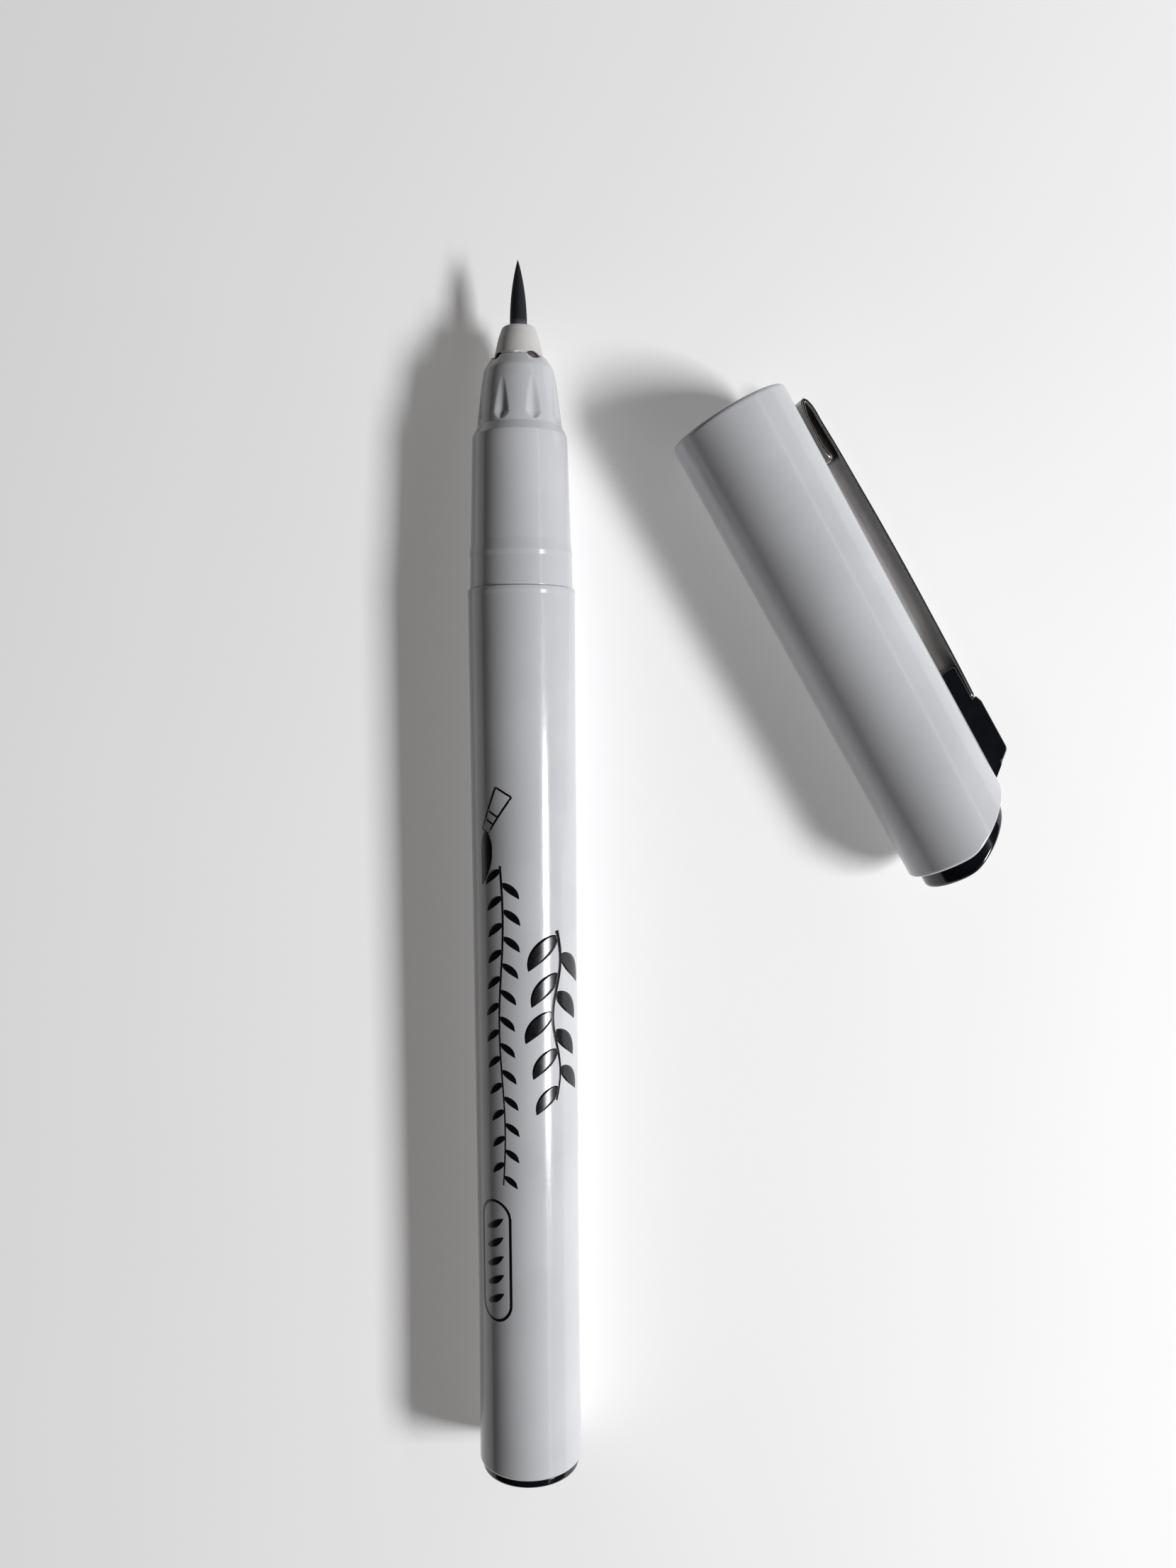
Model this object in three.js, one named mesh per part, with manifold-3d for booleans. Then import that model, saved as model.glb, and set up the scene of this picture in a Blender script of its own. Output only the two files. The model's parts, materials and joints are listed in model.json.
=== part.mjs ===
// Brush-tip calligraphy marker lying on a table with its cap taken off beside it. Millimetres, +Z up.
// The cap's axis runs along Y. The pen lies at an angle to it, nib forward.
import * as THREE from 'three';
import { mergeVertices } from 'three/addons/utils/BufferGeometryUtils.js';
import Module from 'manifold-3d';

const wasm = await Module();
wasm.setup();

// ---- driving dimensions -------------------------------------------------------------------------
const gap = 0.3; // clearance between pieces that touch
const around = 48; // facets round a large turned piece
const aroundInner = 32; // facets round a small or hidden one

// Stations along the pen, measured from the barrel's tail end towards the nib.
const barrelLength = 87.5;
const barrelRadius = 5.32; // at the front edge, the widest place
const barrelWaist = 5.06; // the slimmest place, a fifth of the way up
const barrelTail = 5.15;
const barrelBore = 4.2;
const seatStep = 92; // small step between the cap's seat and the grip
const seatRadius = 5.08;
const gripRadius = 4.95;
const shoulderStart = 102.3;
const shoulderRadius = 4.7;
const coneRadius = 4.2; // where the shoulder's cone begins, in front of its rounded edge
const noseJoint = 110;
const rimStation = 113.1;
const nibStation = 113.4; // the brush tip bends about this point
const nibLength = 6.3;
const nibRadius = 1.0;
const tailPlugProud = 0.8;
const dimpleCount = 8;
const ventCount = 4;

// The cap, measured from its mouth back to its closed end.
const capLength = 48.5;
const mouthRadius = 6.13;
const closedRadius = 5.92;
const capBore = 5.15;
const capBoreEnd = 5.02;
const bevelAngle = THREE.MathUtils.degToRad(30);
const bevelStart = -3; // the bevel starts this far across, on the side away from the clip
const endPlugProud = 1.8; // measured along the cap
const sealDepth = 16;
const sealLength = 20;
const sealRadius = 4.8;
const sealBore = 4.25;

// The clip and the block that holds it, on the +X side of the cap.
const clipFace = 8.65; // outer face of the strip at its root, from the cap's axis; it arches out to 8.95
const clipThickness = 0.45;
const rootFace = 8.4; // the strip's root steps down into its pocket in the head
const clipRootWidth = 4.2;
const clipTipWidth = 3.6;
const mountWidth = 4.4;
const blockStart = 32.3;
const headStart = 36.2;
const headFlatEnd = 42.1;
const mountEnd = 44.15;
const headFace = 9.1;
const slotWidth = 3;
const slotEnd = 42; // the white wall is whole between this slot and the bevel

// How the two lie on the table.
const penTurn = THREE.MathUtils.degToRad(28.71); // between the pen's axis and the cap's
const capRoll = THREE.MathUtils.degToRad(26); // the clip points this far below level
const mouthPlace = { across: 20.39, along: 104.06 }; // the cap's mouth, beside the pen

// ---- materials ----------------------------------------------------------------------------------
const material = (color, roughness, metalness = 0) =>
  new THREE.MeshStandardMaterial({ color, roughness, metalness });

const whitePlastic = material(0xdcdee2, 0.22);
const nosePlastic = material(0xcfccc6, 0.45);
const blackPlastic = material(0x101218, 0.18);
const brushFibre = material(0x1c1f2a, 0.7);
const inkFibre = material(0x23242e, 0.9);
const film = material(0xe6e4dc, 0.3);
const clearPlastic = material(0xe2e2df, 0.35);
const clipSteel = material(0xb9b7b2, 0.2, 1);

// ---- shape helpers ------------------------------------------------------------------------------
// A turned piece from [radius, height] pairs, about Y. A hollow one names its first point again at the end.
function turned(profile, facets = around) {
  return new THREE.LatheGeometry(profile.map(([r, y]) => new THREE.Vector2(r, y)), facets);
}

// A tube with straight ends: its outer profile going up, closed along a bore of its own.
function tube(outer, inner, facets = around) {
  return turned([...outer, ...[...inner].reverse(), outer[0]], facets);
}

function solid(geometry) {
  const bare = geometry.clone();
  bare.deleteAttribute('normal');
  bare.deleteAttribute('uv');
  const merged = mergeVertices(bare);
  const vertProperties = new Float32Array(merged.attributes.position.array);
  const index = merged.index.array;
  const corners = [];
  for (let i = 0; i < index.length; i += 3) {
    const [a, b, c] = [index[i], index[i + 1], index[i + 2]];
    if (a !== b && b !== c && c !== a) corners.push(a, b, c);
  }
  return new wasm.Manifold(new wasm.Mesh({ numProp: 3, vertProperties, triVerts: new Uint32Array(corners) }));
}

function geometryOf(body) {
  const mesh = body.getMesh();
  const geometry = new THREE.BufferGeometry();
  geometry.setAttribute('position', new THREE.BufferAttribute(mesh.vertProperties, 3));
  geometry.setIndex(new THREE.BufferAttribute(mesh.triVerts, 1));
  geometry.computeVertexNormals();
  return geometry;
}

// A box given by its low and high corners.
function block([x0, y0, z0], [x1, y1, z1]) {
  return new THREE.BoxGeometry(x1 - x0, y1 - y0, z1 - z0)
    .translate((x0 + x1) / 2, (y0 + y1) / 2, (z0 + z1) / 2);
}

// An outline in the XY plane, as wide as width across Z, with its edges rounded off by edge.
function slab(outline, width, edge) {
  const shape = new THREE.Shape(outline.map(([x, y]) => new THREE.Vector2(x, y)));
  const options = {
    depth: width - 2 * edge,
    bevelEnabled: edge > 0,
    bevelThickness: edge,
    bevelSize: edge,
    bevelOffset: -edge,
    bevelSegments: 2,
    curveSegments: 6,
  };
  return new THREE.ExtrudeGeometry(shape, options).translate(0, 0, edge - width / 2);
}

function piece(name, geometry, look) {
  const mesh = new THREE.Mesh(geometry, look);
  mesh.name = name;
  return mesh;
}

// ---- the pen, its axis along Y from the barrel's tail end -----------------------------------------
function barrel() {
  const outer = [
    [barrelTail - 0.2, 0],
    [barrelTail, 0.2],
    [barrelWaist, barrelLength * 0.2],
    [barrelRadius, barrelLength - 0.8],
    [barrelRadius - 0.12, barrelLength],
  ];
  return tube(outer, [[barrelBore, 0], [barrelBore, barrelLength]]);
}

function tailPlug() {
  const flange = barrelTail - 0.25;
  const spigot = barrelBore - gap;
  return turned([
    [0, -tailPlugProud],
    [flange - 0.4, -tailPlugProud],
    [flange, -tailPlugProud + 0.35],
    [flange, -gap],
    [spigot, -gap],
    [spigot, 6],
    [spigot - 0.9, 6],
    [spigot - 0.9, 0.8],
    [0, 0.8],
  ], aroundInner);
}

// A shallow teardrop hollow, its round end at the grip's edge.
function dimple(turn) {
  const start = shoulderStart + 1.1;
  const length = 4.15;
  const middle = start + length / 2;
  const lean = Math.atan2(coneRadius - 3.6, length);
  const hollow = new THREE.SphereGeometry(1, 12, 8).scale(0.42, length / 2, 0.72);
  const place = hollow.attributes.position;
  for (let i = 0; i < place.count; i += 1) {
    const narrowing = 1 - 0.25 * place.getY(i) / (length / 2);
    place.setZ(i, place.getZ(i) * narrowing);
  }
  return hollow.rotateZ(lean).translate(coneRadius - 0.22, middle, 0).rotateY(turn);
}

function gripSection() {
  const spigot = barrelBore - gap;
  const start = barrelLength - 10;
  const outer = [
    [spigot, start],
    [spigot, barrelLength + gap],
    [seatRadius, barrelLength + gap],
    [seatRadius - 0.04, seatStep - 0.3],
    [gripRadius, seatStep],
    [shoulderRadius, shoulderStart],
    [coneRadius + 0.3, shoulderStart + 0.45],
    [coneRadius, shoulderStart + 1.1],
    [3.6, noseJoint - 1.8],
    [3.25, noseJoint - 0.8],
    [2.75, noseJoint],
  ];
  const inner = [
    [3.2, start],
    [3.2, noseJoint - 15],
    [1.95, noseJoint - 13.8],
    [1.95, noseJoint],
  ];
  let body = solid(tube(outer, inner));
  for (let i = 0; i < dimpleCount; i += 1) {
    const turn = ((i + 0.5) * 2 * Math.PI) / dimpleCount;
    body = body.subtract(solid(dimple(turn)));
  }
  return geometryOf(body);
}

function nibHolder() {
  const shank = 1.95 - gap;
  const bore = nibRadius + gap;
  const outer = [
    [shank, noseJoint - 12],
    [shank, noseJoint + gap],
    [2.42, noseJoint + gap],
    [1.9, rimStation - 0.6],
    [1.72, rimStation - 0.2],
    [1.5, rimStation],
  ];
  const cone = tube(outer, [[bore, noseJoint - 12], [bore, rimStation]], aroundInner);
  let body = solid(cone);
  for (let i = 0; i < ventCount; i += 1) {
    const notch = block([shank + 0.15, noseJoint, -0.8], [3, noseJoint + gap + 0.45, 0.8]);
    body = body.subtract(solid(notch.rotateY((i * 2 * Math.PI) / ventCount + 0.47)));
  }
  return geometryOf(body);
}

// The nib's buried end is a half ball about its bending point.
function brushTip() {
  const profile = [];
  for (let i = 0; i < 5; i += 1) {
    const angle = (i / 5) * (Math.PI / 2);
    profile.push([nibRadius * Math.sin(angle), -nibRadius * Math.cos(angle)]);
  }
  for (let i = 0; i < 10; i += 1) {
    const t = i / 10;
    profile.push([nibRadius * (1 - t ** 1.9) ** 0.95, nibLength * t]);
  }
  profile.push([0, nibLength]);
  return turned(profile, 20);
}

function nibStem() {
  const radius = nibRadius - 0.05;
  const start = 68;
  const end = nibStation - nibRadius - gap;
  return turned([[0, start], [radius, start], [radius, end], [0, end]], 16);
}

const reservoirStart = 8;
const reservoirEnd = barrelLength - 10 - gap;
const reservoirRadius = 3.1;

function inkReservoir() {
  const socket = nibRadius + 0.25;
  return turned([
    [0, reservoirStart],
    [reservoirRadius, reservoirStart],
    [reservoirRadius, reservoirEnd],
    [socket, reservoirEnd],
    [socket, 67.5],
    [0, 67.5],
  ], 20);
}

function reservoirFilm() {
  const inner = reservoirRadius + gap;
  const outer = inner + 0.25;
  return tube([[outer, reservoirStart], [outer, reservoirEnd]], [[inner, reservoirStart], [inner, reservoirEnd]], 24);
}

// ---- the cap, its mouth at the origin and opening towards +Y, the clip towards +X -------------------
const capRadiusAt = (depth) => mouthRadius + (closedRadius - mouthRadius) * (depth / capLength);

// The half space beyond the cap's bevelled end, moved out by proud.
function bevelCut(proud) {
  const reach = 30;
  const cut = new THREE.BoxGeometry(2 * reach, reach, 2 * reach);
  return solid(cut.translate(0, -reach / 2 - proud, 0).rotateZ(bevelAngle).translate(bevelStart, -capLength, 0));
}

function capShell() {
  const outer = [
    [closedRadius - 0.25, -capLength],
    [closedRadius, -capLength + 0.25],
    [mouthRadius, -0.35],
    [mouthRadius - 0.25, 0],
  ];
  const inner = [[capBoreEnd, -capLength], [capBoreEnd, -capLength + 8], [capBore, -sealDepth], [capBore, 0]];
  const slot = block([3, -slotEnd, -slotWidth / 2], [8, -headStart + 0.4, slotWidth / 2]);
  return geometryOf(solid(tube(outer, inner)).subtract(bevelCut(0)).subtract(solid(slot)));
}

function capEndPlug() {
  const radius = capBoreEnd - gap;
  const end = -capLength - endPlugProud;
  const body = solid(turned([
    [0, end],
    [radius - 0.2, end],
    [radius, end + 0.2],
    [radius, -slotEnd],
    [0, -slotEnd],
  ]));
  return geometryOf(body.subtract(bevelCut(endPlugProud * Math.cos(bevelAngle))));
}

// The soft cup inside the cap that keeps the nib from drying.
function innerCap() {
  const wall = 0.5;
  const end = -sealDepth - sealLength;
  return turned([
    [0, end],
    [sealRadius - 0.5, end],
    [sealRadius, end + 0.5],
    [sealRadius, -sealDepth],
    [sealBore, -sealDepth],
    [sealBore - 0.25, -sealDepth - 1],
    [sealBore - 0.25, end + wall],
    [0, end + wall],
  ], aroundInner);
}

// The block outside the cap, its neck through the slot, and the pocket that holds the clip's root.
function clipMount() {
  const stripUnder = clipFace - clipThickness - gap;
  const outline = [
    [4.5, -blockStart],
    [stripUnder, -blockStart],
    [stripUnder, -headStart],
    [headFace - 0.35, -headStart],
    [headFace, -headStart - 0.6],
    [headFace, -headFlatEnd],
    [headFace - 0.35, -headFlatEnd - 0.55],
    [6, -mountEnd],
    [4.5, -mountEnd],
  ];
  const rootPocket = block([rootFace - 0.45 - gap, -headStart - 3, -1.6], [rootFace + gap, -headStart + 1, 1.6]);
  const clearOfCap = [[0, -60], [capRadiusAt(60) + gap, -60], [capRadiusAt(0) + gap, 0], [0, 0]];
  const outside = solid(slab(outline, mountWidth, 0.35))
    .subtract(solid(turned(clearOfCap)))
    .subtract(solid(rootPocket));
  const half = slotWidth / 2 - gap;
  const neck = block([4.1, -slotEnd + gap, -half], [7, -headStart + 0.4 - gap, half]);
  return geometryOf(outside.add(solid(neck)));
}

// The strip's centre line, from its root to the curled end of the tongue folded under its tip.
function clipLine() {
  const middle = clipFace - clipThickness / 2;
  const points = [
    [middle, -headStart + gap],
    [middle + 0.27, -25],
    [middle + 0.3, -19],
    [middle + 0.18, -12],
    [middle - 0.08, -4.6],
    [middle - 0.42, -2.1],
    [7.3, -2.5],
    [6.68, -5.4],
    [6.95, -7.5],
    [7.55, -8.6],
  ];
  return new THREE.CatmullRomCurve3(points.map(([x, y]) => new THREE.Vector3(x, y, 0)), false, 'centripetal');
}

function clip() {
  const line = clipLine();
  const steps = 40;
  const left = [];
  const right = [];
  for (let i = 0; i <= steps; i += 1) {
    const at = line.getPointAt(i / steps);
    const along = line.getTangentAt(i / steps);
    const side = clipThickness / 2;
    left.push([at.x - along.y * side, at.y + along.x * side]);
    right.push([at.x + along.y * side, at.y - along.x * side]);
  }
  const strip = slab([...left, ...right.reverse()], clipRootWidth, 0);
  const place = strip.attributes.position;
  for (let i = 0; i < place.count; i += 1) {
    const towardsTip = 1 + place.getY(i) / headStart;
    const width = THREE.MathUtils.lerp(clipRootWidth, clipTipWidth, towardsTip);
    place.setZ(i, (place.getZ(i) * width) / clipRootWidth);
  }
  const root = block([rootFace - 0.45, -headStart - 2.4, -1.3], [rootFace, -headStart + 1, 1.3]);
  return geometryOf(solid(strip).add(solid(root)));
}

// ---- assembly -------------------------------------------------------------------------------------
const pen = new THREE.Group();
pen.add(
  piece('barrel', barrel(), whitePlastic),
  piece('tail_plug', tailPlug(), blackPlastic),
  piece('grip_section', gripSection(), whitePlastic),
  piece('nib_holder', nibHolder(), nosePlastic),
  piece('brush_tip', brushTip(), brushFibre),
  piece('nib_stem', nibStem(), brushFibre),
  piece('ink_reservoir', inkReservoir(), inkFibre),
  piece('reservoir_film', reservoirFilm(), film),
);
pen.getObjectByName('brush_tip').position.y = nibStation;
pen.rotation.z = -penTurn;
pen.position.z = barrelRadius;

const cap = new THREE.Group();
cap.add(
  piece('cap_shell', capShell(), whitePlastic),
  piece('cap_end_plug', capEndPlug(), blackPlastic),
  piece('inner_cap', innerCap(), clearPlastic),
  piece('clip_mount', clipMount(), blackPlastic),
  piece('clip', clip(), clipSteel),
);
cap.rotation.y = capRoll;
cap.position.set(
  mouthPlace.across * Math.cos(penTurn) + mouthPlace.along * Math.sin(penTurn),
  mouthPlace.along * Math.cos(penTurn) - mouthPlace.across * Math.sin(penTurn),
  mouthRadius,
);

// The origin is under the middle of the pair, on the table.
const marker = new THREE.Group();
marker.add(pen, cap);
marker.updateMatrixWorld(true);
const extent = new THREE.Box3().setFromObject(marker, true);
const centre = extent.getCenter(new THREE.Vector3());
marker.position.set(-centre.x, -centre.y, -extent.min.z);

export default marker;
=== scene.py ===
# Brush-tip calligraphy marker lying uncapped on a table, its clipped cap beside it.
import json
import math
import bmesh
import bpy
from mathutils import Matrix, Vector


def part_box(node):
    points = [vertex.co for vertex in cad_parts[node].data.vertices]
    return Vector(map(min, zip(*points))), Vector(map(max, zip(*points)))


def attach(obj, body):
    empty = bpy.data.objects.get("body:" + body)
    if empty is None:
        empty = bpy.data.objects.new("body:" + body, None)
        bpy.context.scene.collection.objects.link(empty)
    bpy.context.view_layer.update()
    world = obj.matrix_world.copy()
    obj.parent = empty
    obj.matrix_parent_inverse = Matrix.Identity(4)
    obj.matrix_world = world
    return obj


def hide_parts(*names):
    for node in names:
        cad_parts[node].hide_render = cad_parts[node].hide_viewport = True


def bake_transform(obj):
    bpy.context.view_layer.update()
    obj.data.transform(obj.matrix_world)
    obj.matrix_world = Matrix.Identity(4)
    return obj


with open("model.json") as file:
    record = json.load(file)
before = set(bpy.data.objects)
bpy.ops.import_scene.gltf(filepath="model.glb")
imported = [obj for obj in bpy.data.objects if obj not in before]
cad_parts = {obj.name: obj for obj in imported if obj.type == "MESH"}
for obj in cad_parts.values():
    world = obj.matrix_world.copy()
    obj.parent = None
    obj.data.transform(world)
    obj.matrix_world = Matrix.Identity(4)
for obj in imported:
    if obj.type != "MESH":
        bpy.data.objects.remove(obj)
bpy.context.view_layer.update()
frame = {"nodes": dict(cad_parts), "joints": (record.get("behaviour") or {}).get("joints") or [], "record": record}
print("frame loaded:", len(frame["nodes"]), "CAD nodes")

mm = 0.001
up = Vector((0, 0, 1))
mounts = {mount["name"]: mount for mount in frame["record"]["mounts"]}
joints = {joint["name"]: joint for joint in frame["joints"]}


# where the pen and the cap lie

def axesMatrix(across, along, upward, origin):
    turn = Matrix((across, along, upward)).transposed()
    return Matrix.Translation(origin) @ turn.to_4x4() @ Matrix.Scale(mm, 4)


tailProud = 0.8  # the tail plug's disc behind the barrel, mm
penAxis = -Vector(mounts["tail_end"]["axis"]).normalized()
penStart = Vector(mounts["tail_end"]["pos_m"]) + penAxis * tailProud * mm
penPlace = axesMatrix(penAxis.cross(up), penAxis, up, penStart)

capAxis = Vector((0, 1, 0))
capAcross = -Vector(joints["clip_flex"]["axis"]).normalized()
capLow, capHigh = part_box("cap_shell")
capMouth = Vector(((capLow.x + capHigh.x) / 2, capHigh.y, (capLow.z + capHigh.z) / 2))
capPlace = axesMatrix(capAxis.cross(capAcross), capAxis, capAcross, capMouth)


def addNode(tree, kind, links=None, **settings):
    made = tree.nodes.new(kind)
    for name, value in settings.items():
        setattr(made, name, value)
    for socket, source in (links or {}).items():
        if isinstance(source, bpy.types.NodeSocket):
            tree.links.new(source, made.inputs[socket])
        else:
            made.inputs[socket].default_value = source
    return made


def linear(hexColour):
    parts = [int(hexColour[i:i + 2], 16) / 255 for i in (1, 3, 5)]
    return tuple(c / 12.92 if c <= 0.04045 else ((c + 0.055) / 1.055) ** 2.4 for c in parts) + (1,)


def clamped(share):
    return max(0.0, min(1.0, share))


# camera and light

camera = dict(
    aheadOfTail=73.52,  # along the pen from the barrel's tail end, mm
    besidePen=6.46,
    height=132.35,
    lens=29.3,
    roll=0.52,  # the view's upright against the pen, degrees
    tilt=2.39,  # towards the tail, degrees
)

sideways = penAxis.cross(up)
roll = math.radians(camera["roll"])
viewUp = penAxis * math.cos(roll) + sideways * math.sin(roll)
viewRight = viewUp.cross(up)


def makeCamera():
    tilt = math.radians(camera["tilt"])
    back = viewUp * math.sin(tilt) + up * math.cos(tilt)
    upright = back.cross(viewRight)
    spot = penStart + penAxis * camera["aheadOfTail"] * mm + sideways * camera["besidePen"] * mm
    spot.z = camera["height"] * mm
    data = bpy.data.cameras.new("camera")
    data.sensor_fit = "AUTO"
    data.sensor_width = 36
    data.lens = camera["lens"]
    data.clip_start = 0.01
    data.clip_end = 10
    seen = bpy.data.objects.new("camera", data)
    facing = Matrix((viewRight, upright, back)).transposed().to_4x4()
    seen.matrix_world = Matrix.Translation(spot) @ facing
    bpy.context.scene.collection.objects.link(seen)
    bpy.context.scene.camera = seen


# towards is (right, ahead, up) in the camera's view, size and distance are metres, glow is its brightness
lights = dict(
    window=dict(towards=(0.755, -0.18, 0.65), distance=0.6, size=(0.1, 0.2), glow=58, tint="#FDFDFF"),
    strip=dict(towards=(0.72, 0.15, 0.68), distance=0.65, size=(0.04, 1.6), glow=2.2, tint="#F8FCFF"),
)
room = dict(tint="#F7E9E6", strength=0.014, backdrop="#F2F2F2")


def makeLamp(name, towards, distance, size, glow, tint):
    data = bpy.data.lights.new(name, "AREA")
    data.shape = "RECTANGLE"
    data.size, data.size_y = size
    data.energy = glow * math.pi * size[0] * size[1]
    data.color = linear(tint)[:3]
    lamp = bpy.data.objects.new(name, data)
    right, ahead, high = towards
    way = (viewRight * right + viewUp * ahead + up * high).normalized()
    side = viewUp.cross(way).normalized()
    facing = Matrix((side, way.cross(side), way)).transposed().to_4x4()
    lamp.matrix_world = Matrix.Translation(way * distance) @ facing
    bpy.context.scene.collection.objects.link(lamp)


def makeLights():
    for name, values in lights.items():
        makeLamp(name, **values)
    world = bpy.data.worlds.new("room")
    bpy.context.scene.world = world
    world.use_nodes = True
    tree = world.node_tree
    dim = tree.nodes["Background"]
    dim.inputs["Color"].default_value = linear(room["tint"])
    dim.inputs["Strength"].default_value = room["strength"]
    # the backdrop looks pale, while the room throws little light of its own
    pale = addNode(tree, "ShaderNodeBackground", {"Color": linear(room["backdrop"])})
    seen = addNode(tree, "ShaderNodeLightPath").outputs["Is Camera Ray"]
    both = addNode(tree, "ShaderNodeMixShader", {0: seen, 1: dim.outputs[0], 2: pale.outputs[0]})
    tree.links.new(both.outputs[0], tree.nodes["World Output"].inputs["Surface"])
    bpy.context.scene.view_settings.view_transform = "Standard"


makeCamera()
makeLights()
print("camera and lights placed")


# node and material helpers

def perMetre(size):
    return 1 / (size * mm)  # pattern scale for features of this many mm


def startMaterial(name, **sockets):
    look = bpy.data.materials.new(name)
    look.use_nodes = True
    tree = look.node_tree
    tree.nodes.clear()
    shader = addNode(tree, "ShaderNodeBsdfPrincipled", sockets)
    addNode(tree, "ShaderNodeOutputMaterial", {"Surface": shader.outputs["BSDF"]})
    return look, tree, shader


def makeWhitePlastic():
    # polypropylene moulded in a polished tool: a cool white with a clear gloss and faint handling marks
    look, tree, shader = startMaterial("moulded white polypropylene", IOR=1.49)
    place = addNode(tree, "ShaderNodeTexCoord").outputs["Object"]
    along = addNode(tree, "ShaderNodeUVMap", uv_map="surface").outputs["UV"]
    cloud = addNode(tree, "ShaderNodeTexNoise", {"Vector": place, "Scale": perMetre(9), "Detail": 3.0})
    tint = addNode(tree, "ShaderNodeValToRGB", {"Fac": cloud.outputs["Fac"]})
    tint.color_ramp.elements[0].position = 0.35
    tint.color_ramp.elements[0].color = linear("#C5C6C8")
    tint.color_ramp.elements[1].position = 0.7
    tint.color_ramp.elements[1].color = linear("#CDCED0")
    tree.links.new(tint.outputs["Color"], shader.inputs["Base Color"])
    # fine rubbing marks run mostly along the tube
    rub = addNode(tree, "ShaderNodeMapping", {"Vector": along, "Scale": (6.0, 0.35, 1.0)})
    scuff = addNode(tree, "ShaderNodeTexNoise", {"Vector": rub.outputs[0], "Scale": 1.0, "Detail": 5.0})
    gloss = addNode(tree, "ShaderNodeMapRange", {
        "Value": scuff.outputs["Fac"], "From Min": 0.35, "From Max": 0.75, "To Min": 0.13, "To Max": 0.22,
    })
    tree.links.new(gloss.outputs["Result"], shader.inputs["Roughness"])
    # faint rings across the tube, 0.4 mm apart, left by the turned mould
    rings = addNode(tree, "ShaderNodeMapping", {"Vector": along, "Scale": (0.35, 2.5, 1.0)})
    ripple = addNode(tree, "ShaderNodeTexNoise", {"Vector": rings.outputs[0], "Scale": 1.0, "Detail": 2.0})
    bump = addNode(tree, "ShaderNodeBump", {
        "Height": ripple.outputs["Fac"], "Strength": 0.22, "Distance": 0.01 * mm,
    })
    tree.links.new(bump.outputs["Normal"], shader.inputs["Normal"])
    return look


def makeNosePlastic():
    # acetal, eroded mould: off-white, satin, with a fine even grain
    look, tree, shader = startMaterial("satin acetal", IOR=1.48)
    place = addNode(tree, "ShaderNodeTexCoord").outputs["Object"]
    cloud = addNode(tree, "ShaderNodeTexNoise", {"Vector": place, "Scale": perMetre(2.5), "Detail": 3.0})
    tint = addNode(tree, "ShaderNodeValToRGB", {"Fac": cloud.outputs["Fac"]})
    tint.color_ramp.elements[0].color = linear("#C5C3BF")
    tint.color_ramp.elements[1].color = linear("#D6D4D0")
    # painted shade: the colour darkens inside the vent recesses, where shade falls
    ventShade = addNode(tree, "ShaderNodeAttribute", attribute_name="paintedVentShade").outputs["Fac"]
    mixed = addNode(tree, "ShaderNodeMixRGB", {0: ventShade, 1: tint.outputs["Color"], 2: linear("#4A4845")})
    tree.links.new(mixed.outputs[0], shader.inputs["Base Color"])
    grain = addNode(tree, "ShaderNodeTexNoise", {"Vector": place, "Scale": perMetre(0.12), "Detail": 2.0})
    rough = addNode(tree, "ShaderNodeMapRange", {
        "Value": grain.outputs["Fac"], "To Min": 0.38, "To Max": 0.5,
    })
    tree.links.new(rough.outputs["Result"], shader.inputs["Roughness"])
    bump = addNode(tree, "ShaderNodeBump", {
        "Height": grain.outputs["Fac"], "Strength": 0.2, "Distance": 0.01 * mm,
    })
    tree.links.new(bump.outputs["Normal"], shader.inputs["Normal"])
    return look


def makeBlackPlastic():
    # ABS moulded glossy: near black with a blue cast, its sharp highlights broken by fine handling marks
    look, tree, shader = startMaterial("glossy black ABS", IOR=1.53)
    place = addNode(tree, "ShaderNodeTexCoord").outputs["Object"]
    cloud = addNode(tree, "ShaderNodeTexNoise", {"Vector": place, "Scale": perMetre(2), "Detail": 4.0})
    tint = addNode(tree, "ShaderNodeValToRGB", {"Fac": cloud.outputs["Fac"]})
    tint.color_ramp.elements[0].color = linear("#08090C")
    tint.color_ramp.elements[1].color = linear("#121419")
    tree.links.new(tint.outputs["Color"], shader.inputs["Base Color"])
    fine = addNode(tree, "ShaderNodeTexNoise", {"Vector": place, "Scale": perMetre(0.35), "Detail": 4.0})
    gloss = addNode(tree, "ShaderNodeMapRange", {
        "Value": fine.outputs["Fac"], "From Min": 0.3, "From Max": 0.8, "To Min": 0.12, "To Max": 0.17,
    })
    tree.links.new(gloss.outputs["Result"], shader.inputs["Roughness"])
    bump = addNode(tree, "ShaderNodeBump", {
        "Height": fine.outputs["Fac"], "Strength": 0.1, "Distance": 0.01 * mm,
    })
    tree.links.new(bump.outputs["Normal"], shader.inputs["Normal"])
    return look


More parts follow.
